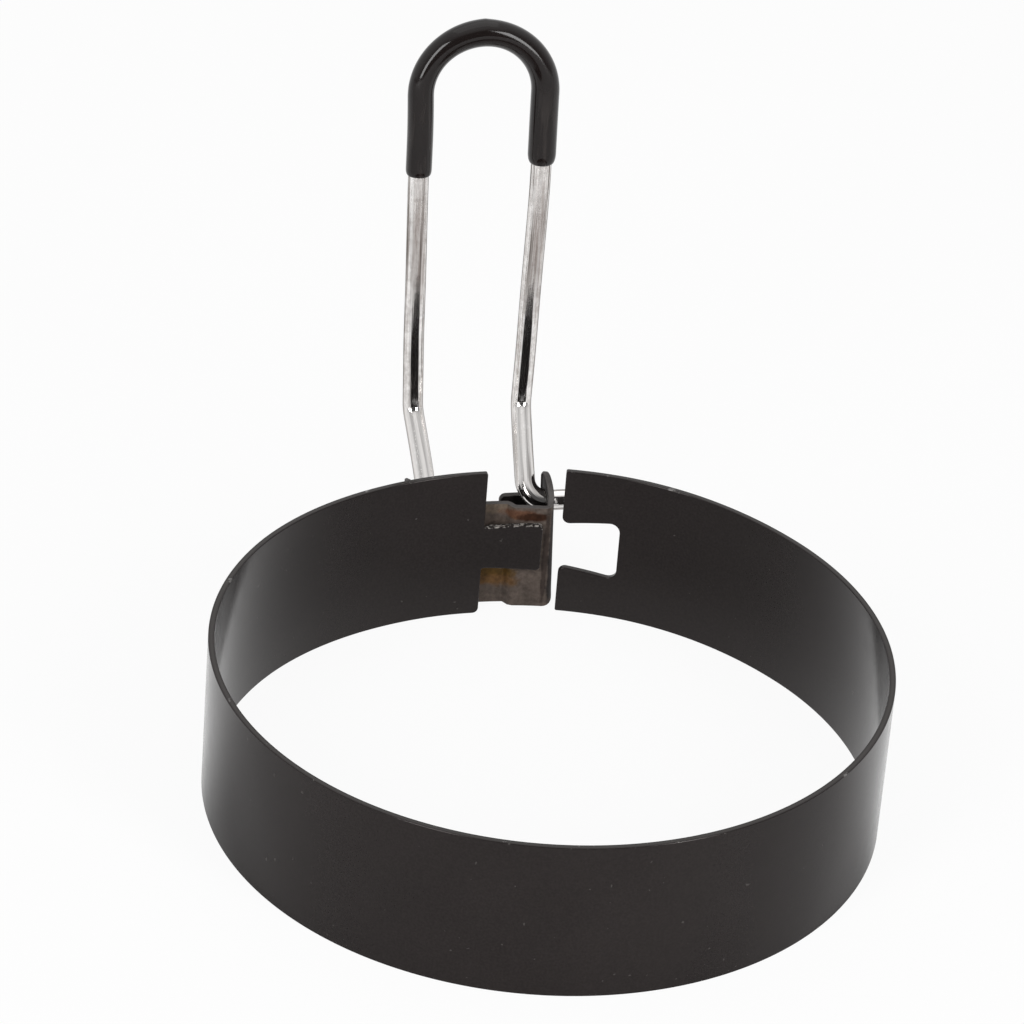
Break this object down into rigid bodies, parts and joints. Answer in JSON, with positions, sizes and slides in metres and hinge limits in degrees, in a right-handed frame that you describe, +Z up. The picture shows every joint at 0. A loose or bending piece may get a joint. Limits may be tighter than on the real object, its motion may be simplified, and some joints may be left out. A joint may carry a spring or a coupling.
{
  "type": "egg ring",
  "caption": "Round cooking ring of coated sheet steel, split with a tongue and notch, with a wire handle that tilts on a folded bracket and has a vinyl-dipped grip",
  "frame": {"origin": "centre of the bounding box at the plane the ring stands on", "axes": "+Z up along the ring's axis, +Y from the ring's centre towards the bracket and handle, +X along the handle's pins"},
  "size_m": [0.1016, 0.1244, 0.0932],
  "materials": {
    "coated_steel": "satin black non-stick coating on sheet steel",
    "bare_steel": "bare sheet steel, heat tinted where it is welded",
    "chromed_wire": "bright chromed round wire",
    "black_vinyl": "glossy black dipped vinyl"
  },
  "bodies": {
    "ring": {"ring_band": "coated_steel", "handle_bracket": "bare_steel"},
    "handle": {"wire_handle": "chromed_wire", "vinyl_grip": "black_vinyl"}
  },
  "joints": [
    {"name": "handle_tilt", "type": "hinge", "parent": "ring", "child": "handle", "pos_m": [0, 0.04198, 0.0178], "axis": [1, 0, 0], "range_deg": [0, 60]}
  ]
}
